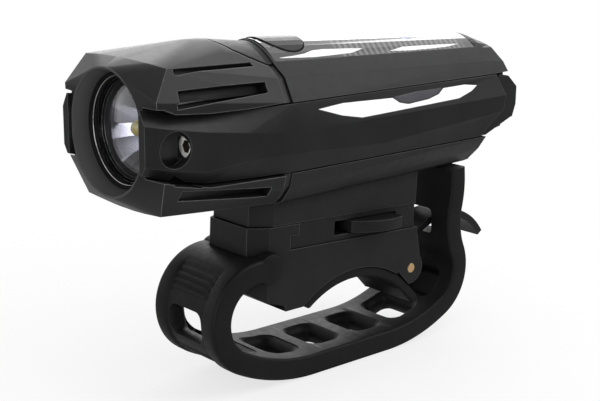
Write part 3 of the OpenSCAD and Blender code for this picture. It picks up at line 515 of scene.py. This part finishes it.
# Centres (y, z) and radii of the front and rear loops, and the flat belly: start, depth and length
LOOP, FRONT_LOOP_R = (-30.5, -2.6), 13.2
REAR, REAR_LOOP_R = (24.5, -3.5), 13.0
BELLY = (-14.0, 20.0, 24.0)
# Rear end: total turn of the loop, then radius and turn of the bend back and the bend up, and the straight end
REAR_TURN, BACK, UP, TAIL = 115, (19.2, 37), (24, 17), 2.2
# Slots: first one, pitch, count, which of them is blind, and the prong's slot from the start of the bend back
SLOT_FIRST, SLOT_PITCH, SLOT_N, SLOT_BLIND, SLOT_PRONG = 20.9, 13.6, 7, 6, 7.6
# Layers of a slot as (depth from the middle, width, length, corner radius)
SLOT_PLAIN = [(-4.2, 10.5, 6.5, 1.4), (4.2, 10.5, 6.5, 1.4)]
SLOT_SCOOP = [(0.3, 10.5, 6.5, 1.4), (1.2, 10.9, 7.0, 1.7), (1.9, 11.7, 8.0, 2.2), (2.4, 12.8, 9.4, 2.8),
              (2.7, 13.6, 10.4, 3.2), (4.2, 14.0, 10.9, 3.4)]
SLOT_FLOOR = [(-1.2, 9.5, 5.5, 1.4), (-0.9, 10.3, 6.3, 1.4)]
# Ribbed field on the outer face: rib pitch and height, depth at its floor and lip, and half widths from the
# floor out to its edge
RIB_PITCH, RIB_H, FIELD_DEEP, LIP_DEEP = 1.3, 0.2, 0.5, 0.16
FIELD_FLOOR, FIELD_WALL, FIELD_LIP, FIELD_EDGE = 6.3, 6.5, 6.9, 7.3
# Where the field starts, the length over which it fades, and the plain pad round each slot
FIELD_START, FIELD_FADE, PAD_HALF, PAD_FADE = 8, 4, 5.0, 1.2
# Edge radii at the outer and inner face, and the flat beside the outer one
RIM_OUT, RIM_IN, RIM_FLAT = 0.9, 0.6, 0.4


def strap_path():
    """Stretches of the strap as (length, turn in degrees): the loop up to the prong, and then the end.

    They are those of the part's source, and the straight end is added here."""
    def sweep(dy, h, r):
        return (dy * dy + h * h - r * r) / (2 * (h - r))

    def bend(r, a):
        return (r * math.radians(a), a)
    front_h, rear_h = LOOP[1] + BELLY[1], REAR[1] + BELLY[1]
    front_dy, rear_dy = BELLY[0] - LOOP[0], REAR[0] - BELLY[0] - BELLY[2]
    front_r, rear_r = sweep(front_dy, front_h, FRONT_LOOP_R), sweep(rear_dy, rear_h, REAR_LOOP_R)
    front_a = math.degrees(math.atan2(front_dy, front_r - front_h))
    rear_a = math.degrees(math.atan2(rear_dy, rear_r - rear_h))
    half = STRAP_T / 2
    back = bend(*BACK)
    front = [(BEAD[0] - LOOP[0], 0), bend(FRONT_LOOP_R - half, 180 - front_a), bend(front_r - half, front_a)]
    rear = [bend(rear_r - half, rear_a), bend(REAR_LOOP_R - half, REAR_TURN - rear_a)]
    return front + [(BELLY[2], 0)] + rear, [(back[0], -back[1]), bend(*UP), (TAIL, 0)]


def walk(path, s):
    """Point (y, z) and heading in degrees after s millimetres of the strap's path, which starts at the bead."""
    y, z, heading = BEAD[0], BEAD[1], 180
    for long, turn in path:
        step = min(s, long)
        if turn == 0:
            y += step * math.cos(math.radians(heading))
            z += step * math.sin(math.radians(heading))
        else:
            r = long / math.radians(turn)
            a, b = math.radians(heading), math.radians(heading + turn * step / long)
            y += r * (math.sin(b) - math.sin(a))
            z += r * (math.cos(a) - math.cos(b))
            heading += turn * step / long
        s -= step
        if s <= 0:
            break
    return y, z, heading


def bead_bar(steps=32):
    """Round bar across the strap's end, with softened ends."""
    y, z, d = BEAD
    end, r = STRAP_W / 2, d / 2
    soft, mid = 0.5, 0.15
    rings = [(-end, r - soft), (-end + mid, r - mid), (-end + soft, r)]
    rings += [(-x, ring_r) for x, ring_r in reversed(rings)]
    verts = [(x, y + ring_r * c, z + ring_r * s) for x, ring_r in rings for c, s in circle(steps)]
    return new_piece("bead", verts, skin(len(rings), steps))


def slot_cutter(stations):
    """Cutters for the strap's slots in one mesh. Most are scooped at both faces, the blind one stops short of
    the outer face and the last one, which holds the prong, has no scoop."""
    through = [(-d, w, l, r) for d, w, l, r in reversed(SLOT_SCOOP)] + SLOT_SCOOP
    kinds = [through] * SLOT_N + [SLOT_PLAIN]
    kinds[SLOT_BLIND] = SLOT_FLOOR + SLOT_SCOOP
    verts, faces = [], []
    for (y, z, heading), layers in zip(stations, kinds):
        c, s = math.cos(math.radians(heading)), math.sin(math.radians(heading))
        base = len(verts)
        for d, w, l, r in layers:
            verts += [(x, y + t * c - d * s, z + t * s + d * c) for x, t in rect_ring(w, l, r)]
        faces += skin(len(layers), (len(verts) - base) // len(layers), base)
    return new_piece("slot_cutter", verts, faces)


def make_strap(rubber):
    loop, end = strap_path()
    path = loop + end
    total = sum(long for long, _ in path)
    prong = sum(long for long, _ in loop) + SLOT_PRONG
    slots = [SLOT_FIRST + SLOT_PITCH * i for i in range(SLOT_N)] + [prong]
    # One rib takes four steps of the sweep
    rise = [0, -RIB_H, 0, RIB_H]
    count = round(total / (RIB_PITCH / len(rise)))
    places = [total * i / count for i in range(count + 1)]
    half, t = STRAP_W / 2, STRAP_T / 2
    across = 8

    def ease(v):
        v = max(0.0, min(1.0, v))
        return v * v * (3 - 2 * v)

    def profile(i):
        s = places[i]
        ends = ease((s - FIELD_START) / FIELD_FADE) * ease((total - FIELD_FADE - s) / FIELD_FADE)
        pad = min(ease((abs(s - c) - PAD_HALF) / PAD_FADE) for c in slots)
        floor = -t + FIELD_DEEP * ends
        rib = rise[i % len(rise)] * ends * pad
        lip = -t + LIP_DEEP * ends
        ring = corner(-half + RIM_OUT, -t + RIM_OUT, RIM_OUT, 180, 270)[:-1]
        ring += [(-half + RIM_OUT + RIM_FLAT, -t), (-FIELD_EDGE, -t), (-FIELD_LIP, lip), (-FIELD_WALL, floor)]
        ring += [(-FIELD_FLOOR + 2 * FIELD_FLOOR * k / across, floor + rib) for k in range(across + 1)]
        ring += [(FIELD_WALL, floor), (FIELD_LIP, lip), (FIELD_EDGE, -t), (half - RIM_OUT - RIM_FLAT, -t)]
        ring += corner(half - RIM_OUT, -t + RIM_OUT, RIM_OUT, 270, 360)
        ring += corner(half - RIM_IN, t - RIM_IN, RIM_IN, 0, 90)
        return ring + corner(-half + RIM_IN, t - RIM_IN, RIM_IN, 90, 180)
    strap = sweep_band("rubber_strap", [walk(path, s) for s in places], profile)
    carve(strap, ("UNION", bead_bar()), ("DIFFERENCE", slot_cutter([walk(path, s) for s in slots])))
    carry(strap, rubber, "bracket", "rubber", "strap")


# Other soft pieces

def make_liner(rubber):
    """Ribbed liner on the saddle's arch, with a tongue that hangs free behind it."""
    r_in, t, half = 23.5, 2.4, 8.6
    first, last, arc_steps = -37, 46, 80
    free, free_steps = 5.0, 14
    wave, plain, plain_rise = [0.0, 0.3, 0.42, 0.3], 3, 0.1
    edge_in, edge_out, margin, taper = 0.5, 0.4, 1.6, 0.35
    r = r_in + t / 2
    arc = [math.radians(first + (last - first) * i / arc_steps) for i in range(arc_steps + 1)]
    stations = [(r * math.sin(a), r * math.cos(a) - r_in, -math.degrees(a)) for a in arc]
    y, z, heading = stations[-1]
    c, s = math.cos(math.radians(heading)), math.sin(math.radians(heading))
    reaches = [free * k / free_steps for k in range(1, free_steps + 1)]
    stations += [(y + reach * c, z + reach * s, heading) for reach in reaches]

    def profile(i):
        ribbed = plain < i < arc_steps - plain + 1
        end = taper if i in (0, len(stations) - 1) else 0
        inner = -t / 2 + (wave[i % len(wave)] if ribbed else plain_rise) + end
        low, high = -t / 2 + edge_in + end, t / 2 - edge_out - end
        ring = corner(-half + edge_in, low, edge_in, 180, 260)
        ring += [(-half + margin, inner), (half - margin, inner)]
        ring += corner(half - edge_in, low, edge_in, 280, 360)
        ring += corner(half - edge_out, high, edge_out, 0, 90)
        return ring + corner(-half + edge_out, high, edge_out, 90, 180)
    carry(sweep_band("rubber_liner", stations, profile), rubber, "bracket", "rubber", "saddle_liner")


def make_cover(rubber):
    """Port cover with a raised rim round a shallow dish."""
    lo, hi = (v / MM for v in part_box("port_cover"))
    w, h, t = hi.x - lo.x, hi.z - lo.z, hi.y - lo.y
    middle = (hi.z + lo.z) / 2
    corner_r, corner_loss, corner_min = 1.4, 0.6, 0.5
    # Inset and depth from the outer face of each ring: edge, soft corner, raised rim, shallow dish
    rings = [(0.5, t), (0.12, t - 0.12), (0, t - 0.5), (0, 0.55), (0.14, 0.2),
             (0.5, 0.02), (1.1, 0.0), (1.35, 0.12), (1.55, 0.3), (1.8, 0.34)]
    verts = []
    for inset, depth in rings:
        r = max(corner_r - inset * corner_loss, corner_min)
        verts += [(x, hi.y - depth, middle + z) for x, z in rect_ring(w - 2 * inset, h - 2 * inset, r, 6)]
    cover = new_piece("rubber_cover", verts, skin(len(rings), len(verts) // len(rings)))
    carry(cover, rubber, "port_cover", "rubber", "port_cover")


# Optics, turned about the lens axis in finer steps than the CAD nodes have

# Front of the lens's flange and the seat behind it, from the bezel's edge
FLANGE, SEAT = 5.2, 6.8


def make_lens(glass):
    """Domed lens of even thickness, in a flange."""
    front, ball, wall = 3.0, 28.6, 1.3
    dome_r, inside_r, rim_r, chamfer = 11.0, 10.6, 12.0, 0.15
    steps = 24
    middle = front + ball

    def cap(reach, r):
        radii = [reach * k / steps for k in range(steps + 1)]
        return [(x, middle - math.sqrt(r ** 2 - x ** 2)) for x in radii]
    rim = [(rim_r - chamfer, FLANGE), (rim_r, FLANGE + chamfer), (rim_r, SEAT - chamfer),
           (rim_r - chamfer, SEAT), (inside_r, SEAT)]
    profile = cap(dome_r, ball) + rim + cap(inside_r, ball - wall)[::-1]
    carry(lathe("lens_glass", profile), glass, "light", "lens", "front_lens")


def make_reflector(chrome):
    """Parabolic bowl with a rounded lip."""
    mouth, throat, depth, lip = 9.5, 2.7, 8.4, 0.4
    outer, outer_throat, outer_depth = 10.0, 4.3, 2.0
    steps = 40
    fall = (depth - lip) / (mouth ** 2 - throat ** 2)
    radii = [mouth + (throat - mouth) * k / steps for k in range(steps + 1)]
    bowl = [(r, SEAT + lip + fall * (mouth ** 2 - r * r)) for r in radii]
    edge = [(outer, SEAT + 0.12), (9.9, SEAT + 0.02), (9.72, SEAT), (9.58, SEAT + 0.06), (9.52, SEAT + 0.2)]
    back = [(outer_throat, SEAT + depth), (outer, SEAT + outer_depth)]
    carry(lathe("reflector_bowl", edge + bowl + back), chrome, "light", "reflector", "reflector")


def make_lip(polished):
    """Thin bright ring in front of the lens retainer."""
    ring_r, ring_y, wire = 11.27, 4.12, 0.11
    profile = [(ring_r + wire * c, ring_y + wire * s) for c, s in circle(10)]
    carry(lathe("retainer_lip", profile), polished, "light", "steel")


def make_emitter(phosphor, polished):
    """Phosphor dome on a post that stands on the CAD emitter."""
    dome_y, r, steps, skirt, skirt_r = 8.4, 1.7, 12, 0.5, 1.6
    top_r, neck, neck_r, foot_r = 1.3, 0.3, 1.45, 1.5
    round_steps = 48
    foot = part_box("led_emitter")[0].y / MM - LIGHT_Y
    base = dome_y + skirt
    turns = (math.pi / 2 * k / steps for k in range(steps + 1))
    dome = [(r * math.sin(a), dome_y - r * math.cos(a)) for a in turns] + [(skirt_r, base), (0, base)]
    carry(lathe("emitter_dome", dome, round_steps), phosphor, "light", "led")
    post = [(0, base), (top_r, base), (neck_r, base + neck), (foot_r, foot), (0, foot)]
    carry(lathe("emitter_post", post, round_steps), polished, "light", "steel")


# Stage and light

# Floor: half size in metres, gap under the object in mm, and tone
FLOOR_HALF, FLOOR_GAP, FLOOR_TONE = 4.0, 0.02, 0.85
# Share of plain white that is seen, and brightness that reflections find: near and far, and those distances
# in metres
FLOOR_WHITE, FLOOR_GLOW = (0.72, 1.0, 0.04, 0.16), (0.5, 0.12, 0.12, 0.45)
# Light of the world on the object, and the direction of the white backdrop
WORLD_LEVEL, BACKDROP = 0.55, (-0.75, 0.66, 0)
# Brightness that reflections find towards the backdrop and overhead: low and high, and the heights of the
# direction along each at which they are reached
BACKDROP_GLOW, CEILING_GLOW = (0.05, 1, -0.3, 0.6), (0, 0.8, 0.2, 0.8)
# Softboxes: place in mm, width and height in mm, and radiance. All point at AIM
SOFTBOXES = {
    "top": ((40, 20, 470), 450, 450, 1.0),
    "back": ((-340, 290, 190), 460, 260, 2.4),
    "side": ((310, 290, 250), 260, 260, 4.5),
    "front": ((-330, -380, 120), 300, 300, 0.7),
    "fill": ((225, -400, 70), 340, 340, 2.6),
}
AIM = (0, -10, 25)


def camera_ray(nt):
    return add(nt, "ShaderNodeLightPath").outputs["Is Camera Ray"]


def seen_directly(nt):
    """1 for what the camera, a reflection or a glass shows, and 0 for light that falls on something."""
    path = add(nt, "ShaderNodeLightPath").outputs
    seen = larger(nt, path["Is Camera Ray"], path["Is Glossy Ray"])
    return larger(nt, seen, path["Is Transmission Ray"])


def make_stage():
    z, r = CAD_BOX[0][2] - FLOOR_GAP * MM, FLOOR_HALF
    mesh = bpy.data.meshes.new("floor")
    mesh.from_pydata([(-r, -r, z), (r, -r, z), (r, r, z), (-r, r, z)], [], [(0, 1, 2, 3)])
    floor = bpy.data.objects.new("floor", mesh)
    scene.collection.objects.link(floor)
    m, nt, shader = new_material("floor_white")
    nt.nodes.remove(shader)
    away = length(nt, place(nt))
    diffuse = add(nt, "ShaderNodeBsdfDiffuse", {"Color": rgb(FLOOR_TONE)})
    # The camera sees white. Reflections find the floor bright only close to the object
    glow = larger(nt, spread(nt, away, *FLOOR_GLOW), camera_ray(nt))
    white = add(nt, "ShaderNodeEmission", {"Color": WHITE, "Strength": glow})
    # Close to the object the floor keeps some of the shadow, and further out it is all white
    share = product(nt, seen_directly(nt), spread(nt, away, *FLOOR_WHITE))
    mix = add(nt, "ShaderNodeMixShader", {0: share, 1: diffuse.outputs[0], 2: white.outputs[0]})
    nt.links.new(mix.outputs[0], nt.nodes["Material Output"].inputs[0])
    mesh.materials.append(m)


def make_world():
    world = bpy.data.worlds.new("world")
    scene.world = world
    world.use_nodes = True
    nt = world.node_tree
    soft = nt.nodes["Background"]
    soft.inputs[0].default_value = WHITE
    soft.inputs[1].default_value = WORLD_LEVEL
    # The white backdrop stands behind the object. Reflections find a dim room on the other side
    way = add(nt, "ShaderNodeTexCoord").outputs["Generated"]
    glow = larger(nt, spread(nt, dot(nt, way, BACKDROP), *BACKDROP_GLOW),
                  spread(nt, axes(nt, way)["Z"], *CEILING_GLOW))
    white = add(nt, "ShaderNodeBackground", {0: WHITE, 1: larger(nt, glow, camera_ray(nt))})
    mix = add(nt, "ShaderNodeMixShader", {0: seen_directly(nt), 1: soft.outputs[0], 2: white.outputs[0]})
    nt.links.new(mix.outputs[0], nt.nodes["World Output"].inputs[0])


def make_lamps():
    for name, (place_mm, w, h, radiance) in SOFTBOXES.items():
        data = bpy.data.lights.new(name, "AREA")
        data.shape = "RECTANGLE"
        data.size, data.size_y = w * MM, h * MM
        data.energy = radiance * math.pi * data.size * data.size_y
        lamp = bpy.data.objects.new(name, data)
        lamp.location = Vector(place_mm) * MM
        to_aim = Vector(AIM) * MM - lamp.location
        lamp.rotation_euler = to_aim.to_track_quat("-Z", "Y").to_euler()
        lamp.visible_camera = False
        scene.collection.objects.link(lamp)


make_camera()
rubber_black, clear, mirror, bright, yellow = make_materials()
for node in NODES.values():
    finish_edges(node)
make_strap(rubber_black)
make_liner(rubber_black)
make_cover(rubber_black)
make_lens(clear)
make_reflector(mirror)
make_lip(bright)
make_emitter(yellow, bright)
make_stage()
make_world()
make_lamps()
